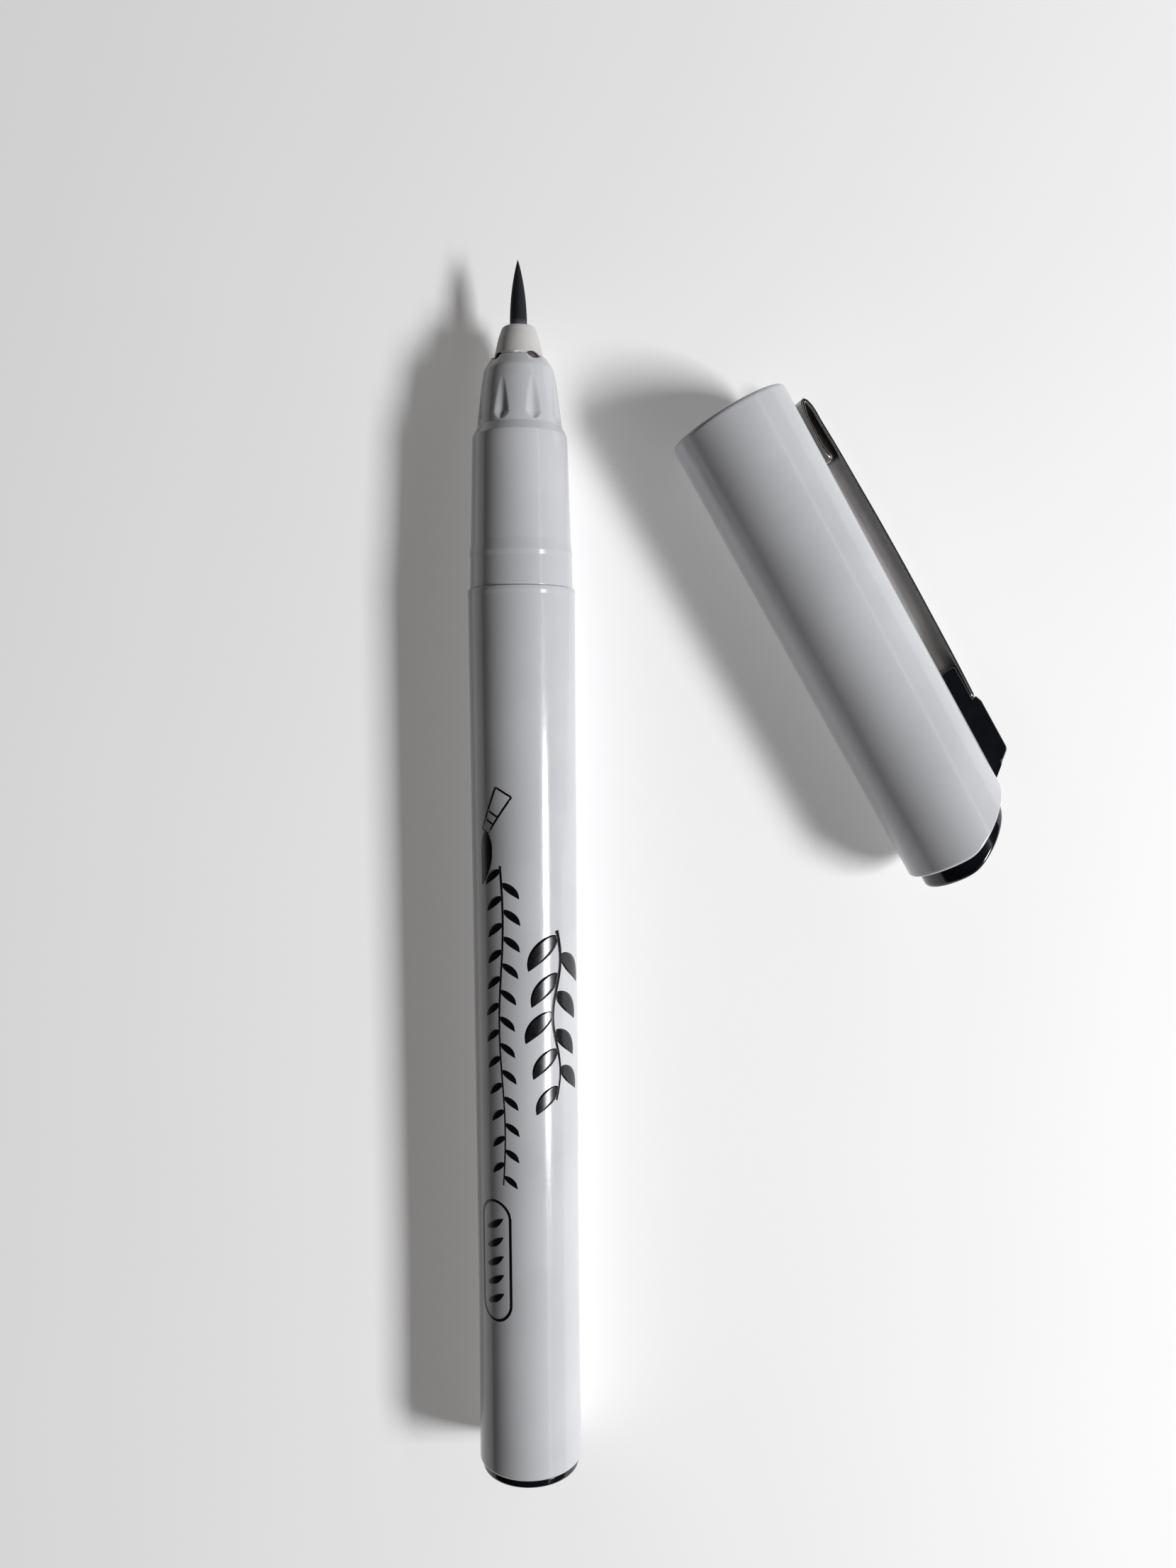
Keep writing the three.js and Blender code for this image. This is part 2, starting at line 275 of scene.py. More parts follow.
def makeBrushFibre():
    # porous resin soaked in pigment ink: blue-black, matt, finely streaked, greyer where it leaves the nose
    look, tree, shader = startMaterial("ink-soaked brush resin", IOR=1.45)
    along = addNode(tree, "ShaderNodeUVMap", uv_map="surface").outputs["UV"]
    axes = addNode(tree, "ShaderNodeSeparateXYZ", {"Vector": along})
    strand = addNode(tree, "ShaderNodeMapping", {"Vector": along, "Scale": (9.0, 0.8, 1.0)})
    streak = addNode(tree, "ShaderNodeTexNoise", {"Vector": strand.outputs[0], "Scale": 1.0, "Detail": 4.0})
    uneven = {0: streak.outputs["Fac"], 1: 0.9, 2: axes.outputs["Y"]}
    ragged = addNode(tree, "ShaderNodeMath", uneven, operation="MULTIPLY_ADD")
    inked = addNode(tree, "ShaderNodeMapRange", {
        "Value": ragged.outputs[0], "From Min": 0.3, "From Max": 1.15,
    })
    tint = addNode(tree, "ShaderNodeValToRGB", {"Fac": inked.outputs["Result"]})
    tint.color_ramp.elements[0].color = linear("#63656C")
    tint.color_ramp.elements[1].color = linear("#0E1017")
    tree.links.new(tint.outputs["Color"], shader.inputs["Base Color"])
    rough = addNode(tree, "ShaderNodeMapRange", {
        "Value": streak.outputs["Fac"], "To Min": 0.6, "To Max": 0.85,
    })
    tree.links.new(rough.outputs["Result"], shader.inputs["Roughness"])
    bump = addNode(tree, "ShaderNodeBump", {
        "Height": streak.outputs["Fac"], "Strength": 0.5, "Distance": 0.03 * mm,
    })
    tree.links.new(bump.outputs["Normal"], shader.inputs["Normal"])
    return look


def makePlatedSteel():
    # spring steel, rolled and nickel plated: a faintly warm grey with hairlines along the strip
    look, tree, shader = startMaterial("nickel-plated spring steel", Metallic=1.0)
    along = addNode(tree, "ShaderNodeUVMap", uv_map="surface").outputs["UV"]
    place = addNode(tree, "ShaderNodeTexCoord").outputs["Object"]
    lines = addNode(tree, "ShaderNodeMapping", {"Vector": along, "Scale": (14.0, 0.5, 1.0)})
    hair = addNode(tree, "ShaderNodeTexNoise", {"Vector": lines.outputs[0], "Scale": 1.0, "Detail": 4.0})
    tarnish = addNode(tree, "ShaderNodeTexNoise", {"Vector": place, "Scale": perMetre(3), "Detail": 3.0})
    tint = addNode(tree, "ShaderNodeValToRGB", {"Fac": tarnish.outputs["Fac"]})
    tint.color_ramp.elements[0].color = linear("#8D8B89")
    tint.color_ramp.elements[1].color = linear("#B3B1AE")
    tree.links.new(tint.outputs["Color"], shader.inputs["Base Color"])
    rough = addNode(tree, "ShaderNodeMapRange", {
        "Value": hair.outputs["Fac"], "To Min": 0.14, "To Max": 0.3,
    })
    tree.links.new(rough.outputs["Result"], shader.inputs["Roughness"])
    bump = addNode(tree, "ShaderNodeBump", {
        "Height": hair.outputs["Fac"], "Strength": 0.15, "Distance": 0.01 * mm,
    })
    tree.links.new(bump.outputs["Normal"], shader.inputs["Normal"])
    return look


def makePrintInk():
    # pad-printed ink: black, slightly glossy, a shade greyer where it lay thin
    look, tree, shader = startMaterial("pad-printed black ink", IOR=1.5)
    place = addNode(tree, "ShaderNodeTexCoord").outputs["Object"]
    thin = addNode(tree, "ShaderNodeTexNoise", {"Vector": place, "Scale": perMetre(0.5), "Detail": 4.0})
    tint = addNode(tree, "ShaderNodeValToRGB", {"Fac": thin.outputs["Fac"]})
    tint.color_ramp.elements[0].position = 0.5
    tint.color_ramp.elements[0].color = linear("#0C0D10")
    tint.color_ramp.elements[1].position = 0.85
    tint.color_ramp.elements[1].color = linear("#191A1F")
    tree.links.new(tint.outputs["Color"], shader.inputs["Base Color"])
    rough = addNode(tree, "ShaderNodeMapRange", {
        "Value": thin.outputs["Fac"], "To Min": 0.16, "To Max": 0.28,
    })
    tree.links.new(rough.outputs["Result"], shader.inputs["Roughness"])
    return look


def makePlainMatt(name, dark, light, size, roughness, ior=1.48, alongOnly=False):
    look, tree, shader = startMaterial(name, IOR=ior)
    place = addNode(tree, "ShaderNodeTexCoord").outputs["Object"]
    # a fibrous look is stretched along the pen
    stretch = (1, 0.12, 1) if alongOnly else (1, 1, 1)
    turn = (0, 0, penAxis.angle(capAxis) if alongOnly else 0)
    lie = addNode(tree, "ShaderNodeMapping", {"Vector": place, "Scale": stretch, "Rotation": turn})
    grain = addNode(tree, "ShaderNodeTexNoise", {
        "Vector": lie.outputs["Vector"], "Scale": perMetre(size), "Detail": 4.0,
    })
    tint = addNode(tree, "ShaderNodeValToRGB", {"Fac": grain.outputs["Fac"]})
    tint.color_ramp.elements[0].color = linear(dark)
    tint.color_ramp.elements[1].color = linear(light)
    tree.links.new(tint.outputs["Color"], shader.inputs["Base Color"])
    low, high = roughness
    rough = addNode(tree, "ShaderNodeMapRange", {
        "Value": grain.outputs["Fac"], "To Min": low, "To Max": high,
    })
    tree.links.new(rough.outputs["Result"], shader.inputs["Roughness"])
    bump = addNode(tree, "ShaderNodeBump", {
        "Height": grain.outputs["Fac"], "Strength": 0.2, "Distance": 0.02 * mm,
    })
    tree.links.new(bump.outputs["Normal"], shader.inputs["Normal"])
    return look


whitePlastic = makeWhitePlastic()
nosePlastic = makeNosePlastic()
blackPlastic = makeBlackPlastic()
brushFibre = makeBrushFibre()
platedSteel = makePlatedSteel()
printInk = makePrintInk()
# soft and waxy, for the seal
sealPlastic = makePlainMatt("milky polyethylene", "#CFCFC9", "#DEDED9", 3, (0.35, 0.45), 1.51)
# a thin crinkled wrap
filmPlastic = makePlainMatt("polyester film", "#D5D3C9", "#E4E2DA", 5, (0.2, 0.32), 1.6)
# a combed bundle, wet and dark
inkedFibre = makePlainMatt("ink-soaked fibre", "#0E0F15", "#23252E", 0.15, (0.7, 0.9), 1.4, True)
# smooth and almost white, glowing a little as a light table does
laminate = dict(half=0.5, glow=0.19, glowTint="#FFFDFB")  # half the table's width, metres
tableTop = makePlainMatt("pale laminate", "#EFEFEF", "#F3F3F3", 40, (0.6, 0.7))
topInputs = tableTop.node_tree.nodes["Principled BSDF"].inputs
topInputs["Emission Color"].default_value = linear(laminate["glowTint"])
topInputs["Emission Strength"].default_value = laminate["glow"]
print("materials made")


# shape helpers: local mm, X across, Y along the axis, Z up

def roundedProfile(corners, steps=6):
    # corners are (radius, height, fillet); a filleted one becomes an arc with a support point either side
    points = []
    for i, (x, y, fillet) in enumerate(corners):
        here = Vector((x, y))
        if fillet <= 0 or i in (0, len(corners) - 1):
            points.append(here)
            continue
        before = Vector(corners[i - 1][:2]) - here
        after = Vector(corners[i + 1][:2]) - here
        half = before.angle(after) / 2
        reach = min(fillet / math.tan(half), 0.48 * before.length, 0.48 * after.length)
        radius = reach * math.tan(half)
        start, end = here + before.normalized() * reach, here + after.normalized() * reach
        middle = here + (before.normalized() + after.normalized()).normalized() * (radius / math.sin(half))
        spokeA, spokeB = start - middle, end - middle
        sweep = spokeA.angle(spokeB)
        turn = math.copysign(1, spokeA.x * spokeB.y - spokeA.y * spokeB.x)
        margin = min(0.05, 0.2 * reach)
        points.append(start + before.normalized() * margin)
        for k in range(steps + 1):
            angle = turn * sweep * k / steps
            points.append(middle + Matrix.Rotation(angle, 2) @ spokeA)
        points.append(end + after.normalized() * margin)
    return [(p.x, p.y) for p in points]


def subdivided(profile, step):
    fine = []
    for (x0, y0), (x1, y1) in zip(profile, profile[1:]):
        parts = max(1, math.ceil(math.hypot(x1 - x0, y1 - y0) / step))
        fine += [(x0 + (x1 - x0) * k / parts, y0 + (y1 - y0) * k / parts) for k in range(parts)]
    return fine + [profile[-1]]


def turnedRings(profile, count, shape=None):
    # each profile point becomes a ring round Y, or a pole where its radius is 0
    rings = []
    for r, y in profile:
        if r < 1e-6:
            rings.append([Vector((0, y if shape is None else shape(0, y, 0).y, 0))])
            continue
        ring = []
        for j in range(count):
            angle = 2 * math.pi * j / count - math.pi / 2
            if shape is None:
                ring.append(Vector((r * math.cos(angle), y, r * math.sin(angle))))
            else:
                ring.append(shape(r, y, angle))
        rings.append(ring)
    return rings


def lofted(name, rings, closedLength=False):
    # a skin over rings of equal count, with poles or flat ends, and a UV map in mm
    build = bmesh.new()
    layer = build.loops.layers.uv.new("surface")
    verts = [[build.verts.new(p) for p in ring] for ring in rings]
    count = max(len(ring) for ring in rings)
    girth = 2 * math.pi * 5  # mm round, near enough for the map
    heights = [ring[0].y for ring in rings]

    def addFace(corners, columns, rows):
        face = build.faces.new(corners)
        for loop, column, row in zip(face.loops, columns, rows):
            loop[layer].uv = (column / count * girth, heights[row])

    pairs = list(zip(range(len(rings) - 1), range(1, len(rings))))
    if closedLength:
        pairs.append((len(rings) - 1, 0))
    for a, b in pairs:
        ringA, ringB = verts[a], verts[b]
        for j in range(count):
            k = (j + 1) % count
            if len(ringA) == 1:
                addFace((ringA[0], ringB[k], ringB[j]), (j, j + 1, j), (a, b, b))
            elif len(ringB) == 1:
                addFace((ringA[j], ringA[k], ringB[0]), (j, j + 1, j), (a, a, b))
            else:
                corners = (ringA[j], ringA[k], ringB[k], ringB[j])
                addFace(corners, (j, j + 1, j + 1, j), (a, a, b, b))
    if not closedLength:
        for ring in (verts[0], verts[-1]):
            if len(ring) > 1:
                build.faces.new(ring)
    bmesh.ops.recalc_face_normals(build, faces=build.faces)
    mesh = bpy.data.meshes.new(name)
    build.to_mesh(mesh)
    build.free()
    mesh.shade_smooth()
    return mesh


def finished(name, mesh, place, look, body, stands=()):
    # the piece in its place in the frame, riding on its body and standing for its CAD nodes
    mesh.transform(place)
    mesh.materials.clear()
    mesh.materials.append(look)
    piece = bpy.data.objects.new(name, mesh)
    bpy.context.scene.collection.objects.link(piece)
    if body:
        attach(piece, body)
    if stands:
        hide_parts(*stands)
    return piece


# pen: barrel and tail plug

barrel = dict(
    length=87.5, front=5.29, waist=5.06, waistAt=17.5, tail=5.14, bore=4.25, tailEdge=0.42,
    bead=0.03,  # stands round the front edge and catches the light
    gap=0.02,  # between faces that meet
)


def barrelRadiusAt(along):
    if along < barrel["waistAt"]:
        return barrel["tail"] + (barrel["waist"] - barrel["tail"]) * along / barrel["waistAt"]
    share = (along - barrel["waistAt"]) / (barrel["length"] - barrel["waistAt"])
    return barrel["waist"] + (barrel["front"] - barrel["waist"]) * share


def makeBarrel():
    b = barrel
    outside = roundedProfile([
        (b["bore"], b["gap"], 0),
        (b["tail"], b["gap"], b["tailEdge"]),
        (b["waist"], b["waistAt"], 60),
        (b["front"], b["length"] - 0.8, 0.4),
        (b["front"] + b["bead"], b["length"] - 0.42, 0.5),
        (b["front"] - 0.01, b["length"] - b["gap"], 0.12),
        (b["bore"], b["length"] - b["gap"], 0),
    ])
    mesh = lofted("barrelTube", turnedRings(subdivided(outside, 3), 192), closedLength=True)
    return finished("barrelTube", mesh, penPlace, whitePlastic, "pen", ["barrel"])


tailPlug = dict(radius=4.84, proud=tailProud, edge=0.42, spigot=4.15, depth=6, wall=0.9, floor=0.8)


def makeTailPlug():
    t = tailPlug
    profile = roundedProfile([
        (0, -t["proud"], 0),
        (t["radius"], -t["proud"], t["edge"]),
        (t["radius"], -barrel["gap"], 0.05),
        (t["spigot"], -barrel["gap"], 0.05),
        (t["spigot"], t["depth"], 0.2),
        (t["spigot"] - t["wall"], t["depth"], 0.1),
        (t["spigot"] - t["wall"], t["floor"], 0.2),
        (0, t["floor"], 0),
    ])
    mesh = lofted("tailPlugDisc", turnedRings(subdivided(profile, 1.5), 128))
    return finished("tailPlugDisc", mesh, penPlace, blackPlastic, "pen", ["tail_plug"])


# pen: grip section with its ring of dimples

grip = dict(
    back=77.5, bore=3.2, boreEnd=95.2, tube=1.95, tubeStart=96.4,  # inside
    seat=5.08, step=92.0, bead=0.05, beadAt=90.9,
    gripBack=4.95, gripFront=4.7, shoulder=102.35, cone=4.2,
    taper=((3.68, 107.6, 3), (3.45, 108.8, 1.4)),  # radius, height and fillet on the way to the lip
    noseJoint=110.0, lip=2.68, socket=2.3, socketDepth=1.2,
    dimples=8, dimpleStart=103.4, dimpleLength=4.2, dimpleWidth=0.95, dimpleDepth=0.38,
)


def dimpleTree():
    # presses a ring of teardrop hollows into a turned surface about the Y axis
    tree = bpy.data.node_groups.new("ring of dimples", "GeometryNodeTree")
    face = tree.interface
    face.new_socket("Geometry", in_out="INPUT", socket_type="NodeSocketGeometry")
    for name, value in (("Start", 100), ("Length", 4), ("Half width", 0.7), ("Depth", 0.4), ("Count", 8)):
        face.new_socket(name, in_out="INPUT", socket_type="NodeSocketFloat").default_value = value
    face.new_socket("Material", in_out="INPUT", socket_type="NodeSocketMaterial")
    face.new_socket("Geometry", in_out="OUTPUT", socket_type="NodeSocketGeometry")
    given = addNode(tree, "NodeGroupInput").outputs

    def maths(operation, *values):
        return addNode(tree, "ShaderNodeMath", dict(enumerate(values)), operation=operation).outputs[0]

    spot = addNode(tree, "GeometryNodeInputPosition").outputs[0]
    xyz = addNode(tree, "ShaderNodeSeparateXYZ", {0: spot}).outputs
    squares = maths("ADD", maths("MULTIPLY", xyz[0], xyz[0]), maths("MULTIPLY", xyz[2], xyz[2]))
    radius = maths("SQRT", squares)
    sector = maths("DIVIDE", 2 * math.pi, given["Count"])
    turned = maths("FLOORED_MODULO", maths("ARCTAN2", xyz[2], xyz[0]), sector)
    aside = maths("MULTIPLY", maths("SUBTRACT", turned, maths("MULTIPLY", sector, 0.5)), radius)
    along = maths("DIVIDE", maths("SUBTRACT", xyz[1], given["Start"]), given["Length"])
    inside = maths("MINIMUM", maths("MAXIMUM", along, 0.0), 1.0)
    # the teardrop opens quickly at its round end and closes slowly to a point
    opening = maths("SQRT", maths("MINIMUM", maths("DIVIDE", inside, 0.16), 1.0))
    closing = maths("POWER", maths("SUBTRACT", 1.0, inside), 0.55)
    shape = maths("MULTIPLY", opening, closing)
    outline = maths("MAXIMUM", maths("MULTIPLY", given["Half width"], shape), 0.001)
    share = maths("DIVIDE", aside, outline)
    bowl = maths("MAXIMUM", maths("SUBTRACT", 1.0, maths("MULTIPLY", share, share)), 0.0)
    fade = maths("MULTIPLY", opening, maths("POWER", closing, 2))
    slope = maths("MULTIPLY", maths("POWER", bowl, 1.8), fade)
    press = maths("MULTIPLY", slope, given["Depth"])
    shrink = maths("SUBTRACT", 1.0, maths("DIVIDE", press, maths("MAXIMUM", radius, 0.01)))
    across, high = maths("MULTIPLY", xyz[0], shrink), maths("MULTIPLY", xyz[2], shrink)
    moved = addNode(tree, "ShaderNodeCombineXYZ", {0: across, 1: xyz[1], 2: high})
    outer = maths("GREATER_THAN", radius, grip["bore"] + 0.1)  # the bore keeps its shape
    pressed = addNode(tree, "GeometryNodeSetPosition", {
        "Geometry": given["Geometry"], "Selection": outer, "Position": moved.outputs[0],
    })
    real = addNode(tree, "GeometryNodeRealizeInstances", {"Geometry": pressed.outputs[0]})
    dressed = addNode(tree, "GeometryNodeSetMaterial", {
        "Geometry": real.outputs[0], "Material": given["Material"],
    })
    addNode(tree, "NodeGroupOutput", {"Geometry": dressed.outputs[0]})
    return tree


def throughTree(mesh, tree, values):
    # runs a mesh through a node tree and returns the plain mesh that comes out
    carrier = bpy.data.objects.new(mesh.name + "Carrier", mesh)
    bpy.context.scene.collection.objects.link(carrier)
    modifier = carrier.modifiers.new("shape", "NODES")
    modifier.node_group = tree
    sockets = {s.name: s.identifier for s in tree.interface.items_tree if s.in_out == "INPUT"}
    for name, value in values.items():
        modifier[sockets[name]] = value
    bpy.context.view_layer.update()
    worked = carrier.evaluated_get(bpy.context.evaluated_depsgraph_get())
    result = bpy.data.meshes.new_from_object(worked)
    carrier.modifiers.remove(modifier)
    bpy.data.objects.remove(carrier)
    return result


# air vents at the joint of grip and nose: sizes in mm, turn in degrees, halves and slitTurn in radians
vent = dict(
    count=4, turn=54, half=0.27, height=0.7, lift=-0.08, depth=0.4, notch=0.4,
    reach=1.1,  # how far back the grip's lip gives way
    slitTurn=0.46, slitHalf=0.3, slitDepth=0.16, slitHeight=0.16, slitLift=0.1,
)


def ventAway(angle, aside=0.0):
    sector = 2 * math.pi / vent["count"]
    return (angle - math.radians(vent["turn"]) + sector / 2) % sector - sector / 2 - aside


def ventOval(y, angle):
    high = (y - grip["noseJoint"] - vent["lift"]) / (vent["height"] / 2)
    return math.hypot(ventAway(angle) / vent["half"], high)


def makeGrip():
    g = grip
    spigot = barrel["bore"] - 0.05
    outside = roundedProfile([
        (g["bore"], g["back"], 0),
        (spigot, g["back"], 0.2),
        (spigot, barrel["length"] + barrel["gap"], 0),
        (g["seat"], barrel["length"] + barrel["gap"], 0.05),
        (g["seat"] - 0.05, g["beadAt"] - 0.5, 0.5),
        (g["seat"] - 0.05 + g["bead"], g["beadAt"], 0.5),
        (g["seat"] - 0.1, g["step"] - 0.25, 0.6),
        (g["gripBack"], g["step"], 0.04),
        (g["gripFront"], g["shoulder"] - 0.6, 8),
        (g["gripFront"] - 0.04, g["shoulder"], 0.4),
        (g["cone"], g["shoulder"] + 0.9, 0.6),
        *g["taper"],
        (g["lip"] + 0.1, g["noseJoint"] - 0.1, 0.5),
        (g["lip"] - 0.2, g["noseJoint"], 0.1),
        (g["socket"], g["noseJoint"], 0.03),
        (g["socket"], g["noseJoint"] - g["socketDepth"], 0.1),
        (g["tube"], g["noseJoint"] - g["socketDepth"], 0),
        (g["tube"], g["tubeStart"], 0),
        (g["bore"], g["boreEnd"], 0),
    ])
    profile = []
    for near, far in zip(outside, outside[1:]):
        onShoulder = near[0] > g["socket"] - 0.05 and near[1] > g["shoulder"] - 0.2
        profile += subdivided([near, far], 0.07 if onShoulder else 1.2)[:-1]
    profile.append(outside[-1])

    def notched(r, y, angle):
        # the lip steps back at each vent
        wide = max(0.0, 1 - (ventAway(angle) / vent["half"]) ** 2) ** 0.6
        onLip = g["socket"] - 0.1 < r < g["taper"][-1][0] - 0.05
        near = max(0.0, (y - g["noseJoint"]) / vent["reach"] + 1) if onLip else 0
        return Vector((r * math.cos(angle), y - vent["notch"] * wide * near ** 2, r * math.sin(angle)))

    plain = lofted("gripSection", turnedRings(profile, 320, notched), closedLength=True)
    values = {
        "Start": g["dimpleStart"], "Length": g["dimpleLength"], "Half width": g["dimpleWidth"],
        "Depth": g["dimpleDepth"], "Count": float(g["dimples"]), "Material": whitePlastic,
    }
    mesh = throughTree(plain, dimpleTree(), values)
    return finished("gripMoulding", mesh, penPlace, whitePlastic, "pen", ["grip_section"])


# pen: nose cone and brush nib

nose = dict(
    start=grip["noseJoint"], end=113.1, foot=2.5, mid=2.02, rim=1.6, rimEdge=0.4, bore=0.98,
    spigot=1.9, spigotEnd=98.5, collar=2.25,
)


def makeNose():
    n = nose
    corners = roundedProfile([
        (n["bore"], n["spigotEnd"], 0),
        (n["spigot"], n["spigotEnd"], 0.2),
        (n["spigot"], n["start"] - grip["socketDepth"], 0),
        (n["collar"], n["start"] - grip["socketDepth"] + 0.05, 0.05),
        (n["foot"] + 0.02, n["start"] + 0.01, 0.03),
        (n["foot"] - 0.12, n["start"] + 0.3, 0.4),
        (n["mid"], n["start"] + 1.9, 2.5),
        (n["rim"], n["end"], n["rimEdge"]),
        (n["bore"], n["end"], 0.06),
        (n["bore"], n["end"] - 1, 0),
    ])
    profile = []
    for near, far in zip(corners, corners[1:]):
        fine = 0.05 if n["start"] - 0.7 < near[1] < n["start"] + 1.2 else 0.4
        profile += subdivided([near, far], fine)[:-1]
    profile.append(corners[-1])

    def withVents(r, y, angle):
        # a vent is an oval recess at the cone's foot, with a thin slit beside it
        press = vent["depth"] * clamped((1.1 - ventOval(y, angle)) / 0.2) if r > 1.4 else 0
        aside = ventAway(angle, vent["slitTurn"]) / vent["slitHalf"]
        slit = math.hypot(aside, (y - n["start"] - vent["slitLift"]) / vent["slitHeight"])
        if r > n["spigot"]:
            press = max(press, vent["slitDepth"] * clamped((1.1 - slit) / 0.5))
        r = r - press
        return Vector((r * math.cos(angle), y, r * math.sin(angle)))

    mesh = lofted("noseCone", turnedRings(profile, 256, withVents), closedLength=True)
    # painted shade: each vent's oval recess gets a darker colour, fading out at its edge
    ventShade = mesh.attributes.new("paintedVentShade", "FLOAT", "POINT")
    for spot, mark in zip(mesh.vertices, ventShade.data):
        oval = ventOval(spot.co.y, math.atan2(spot.co.z, spot.co.x))
        mark.value = clamped((1.15 - oval) / 0.12)
    return finished("noseCone", mesh, penPlace, nosePlastic, "pen", ["nib_holder"])


nib = dict(
    pivot=113.4, length=6.3, radius=0.84, buried=1.0,
    stiffUntil=-0.9, freeFrom=3.2,  # the real brush bends between these, mm ahead of the pivot; the nib is built straight
)


def makeNib():
    n = nib
    profile = [(0, n["pivot"] - n["buried"])]
    profile += [(0.9 * n["radius"] * math.sin(a), n["pivot"] - n["buried"] * math.cos(a) ** 0.8)
                for a in (0.5, 0.9, 1.2, 1.45)]
    steps = 40
    for i in range(steps):
        t = i / steps
        profile.append((max(n["radius"] * (1 - t ** 2) ** 0.92, 0.03), n["pivot"] + n["length"] * t))
    profile.append((0, n["pivot"] + n["length"]))
    mesh = lofted("brushNib", turnedRings(profile, 72))
    for entry in mesh.uv_layers["surface"].data:  # height is counted from the nose's rim
        entry.uv = (entry.uv[0] * 0.3, entry.uv[1] - nose["end"])
    piece = finished("brushNib", mesh, penPlace, brushFibre, None, ["brush_tip"])
    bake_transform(piece)
    return piece


makeBarrel()
makeTailPlug()
makeGrip()
makeNose()
makeNib()
print("pen shaped")


# cap: tube and end plug

cap = dict(
    length=48.5, mouth=6.13, closed=5.92, bore=5.15, endBore=5.03, rimEdge=0.75, endEdge=0.3,
    boreDepth=20, endDepth=8,
    bevel=30, bevelStart=-3.0, bevelSoftness=0.4,  # degrees, mm from the axis, mm
    plugProud=1.75, plugEdge=0.45, plugDepth=3.9,
)


def bevelLift(x):
    # how far the slanted end stands back from the square one, at x towards the clip
    rise = (x - cap["bevelStart"]) * math.tan(math.radians(cap["bevel"]))
    return (rise + math.sqrt(rise * rise + cap["bevelSoftness"] ** 2)) / 2


def slanted(r, y, angle):
    # the closed end's last fifth leans into the bevel
    x = r * math.cos(angle)
    share = clamped((-y - 0.8 * cap["length"]) / (0.2 * cap["length"]))
    return Vector((x, y + bevelLift(x) * share, r * math.sin(angle)))


def makeCapTube():
    c = cap
    outside = roundedProfile([
        (c["bore"], -c["boreDepth"], 0),
        (c["bore"], 0, 0.15),
        (c["mouth"], 0, c["rimEdge"]),
        (c["closed"], -c["length"], c["endEdge"]),
        (c["endBore"], -c["length"], 0.08),
        (c["endBore"], -c["length"] + c["endDepth"], 0),
    ])
    mesh = lofted("capTube", turnedRings(subdivided(outside, 1.0), 192, slanted), closedLength=True)
    return finished("capTube", mesh, capPlace, whitePlastic, "cap", ["cap_shell"])


def makeEndPlug():
    c = cap
    end = -c["length"] - c["plugProud"]
    radius = c["endBore"] - 0.02
    profile = roundedProfile([
        (0, -c["length"] + c["plugDepth"], 0),
        (radius, -c["length"] + c["plugDepth"], 0.1),
        (radius, end, c["plugEdge"]),
        (0, end, 0),
    ])
    mesh = lofted("capEndPlug", turnedRings(subdivided(profile, 0.4), 160, slanted))
    return finished("capEndPlug", mesh, capPlace, blackPlastic, "cap", ["cap_end_plug"])


# cap: the clip and the black block that holds it

# depths are from the mouth, heights from the cap's axis, mm
mount = dict(
    width=4.4, blockStart=32.3, headStart=36.04, headEnd=42.25, end=44.15,
    foot=5.0, under=8.15, head=9.08, headBack=5.9, centre=7.4, edge=0.25,
)


def capRadiusAt(depth):
    return cap["mouth"] + (cap["closed"] - cap["mouth"]) * depth / cap["length"]


def makeClipMount():
    m = mount
    upper = roundedProfile([
        (m["foot"], -m["blockStart"], 0),
        (m["under"], -m["blockStart"], 0.25),
        (m["under"], -m["headStart"], 0),
        (m["head"] - 0.3, -m["headStart"], 0.15),
        (m["head"], -m["headStart"] - 0.62, 0.4),
        (m["head"], -m["headEnd"], 0.55),
        (m["headBack"], -m["end"] + 0.02, 0.2),
        (m["foot"], -m["end"], 0),
    ])
    upper = subdivided(upper, 0.5)
    lower = [(m["foot"], -m["end"] + (m["end"] - m["blockStart"]) * k / 24) for k in range(1, 24)]
    rings = []
    edge, half = m["edge"], m["width"] / 2
    roundOff = (0, 0.4, 0.8, 1.2, math.pi / 2)
    slices = [(-half + edge * (1 - math.cos(a)), edge * (1 - math.sin(a))) for a in roundOff]
    slices += [(-half + edge + (2 * half - 2 * edge) * k / 6, 0) for k in range(1, 6)]
    slices += [(-z, inset) for z, inset in reversed(slices[:5])]
    # one more slice at each side keeps the flat sides flat in the light
    slices = [(-half, edge + 0.08)] + slices + [(half, edge + 0.08)]
    centre = Vector((m["centre"], -(m["blockStart"] + m["end"]) / 2))
    for z, inset in slices:
        ring = []
        for x, y in upper + lower:
            seat = math.sqrt(capRadiusAt(-y) ** 2 - z * z) + 0.02
            if x > seat:
                towards = centre - Vector((x, y))
                x += math.copysign(min(inset, abs(towards.x)), towards.x)
                y += math.copysign(min(inset, abs(towards.y)), towards.y)
            ring.append(Vector((max(x, seat), y, z)))
        rings.append(ring)
    mesh = lofted("clipBlock", rings)
    return finished("clipBlock", mesh, capPlace, blackPlastic, "cap", ["clip_mount"])


clip = dict(
    face=8.65, thickness=0.45, rootWidth=4.2, tipWidth=3.6, corner=0.1, pivot=35.9, heldWidth=2.7,
    # its middle line: mm outwards from where it leaves the head, and depth
    leaf=((-0.2, 38.5), (0, 35.9), (0.27, 25), (0.3, 19), (0.18, 12), (-0.08, 4.8), (-0.32, 2.3)),
    tongue=((-0.62, 1.95), (-1.0, 2.45), (-1.405, 5.4), (-1.305, 7.5), (-0.805, 8.55)),
)


